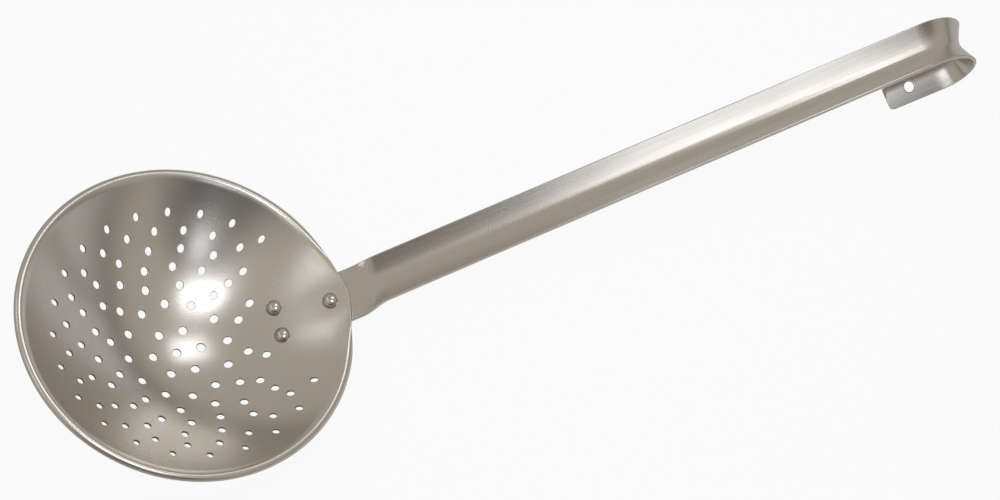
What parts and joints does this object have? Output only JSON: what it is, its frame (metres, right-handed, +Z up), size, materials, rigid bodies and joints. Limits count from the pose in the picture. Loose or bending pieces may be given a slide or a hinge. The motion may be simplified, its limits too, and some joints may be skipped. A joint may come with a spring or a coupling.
{
  "type": "kitchen skimmer",
  "caption": "Long-handled skimmer: a shallow round perforated steel bowl with a rolled lip, riveted to a channel-pressed strip handle that ends in a hanging hook.",
  "frame": {"origin": "on the table, under the middle of the skimmer's box, with the skimmer lying on its inner rivets and its hook", "axes": "+X along the skimmer from the bowl to the hook, +Y to the left seen from the bowl, +Z up from the table"},
  "size_m": [0.392, 0.14, 0.0815],
  "materials": {
    "bowl_steel": "satin stainless sheet with a fine grain round the bowl",
    "handle_steel": "satin stainless strip with a fine grain along the handle",
    "rivet_steel": "polished stainless rivet"
  },
  "bodies": {
    "root": {"bowl": "bowl_steel", "handle": "handle_steel", "rivet_rim": "rivet_steel", "rivet_inner_left": "rivet_steel", "rivet_inner_right": "rivet_steel"}
  },
  "joints": []
}
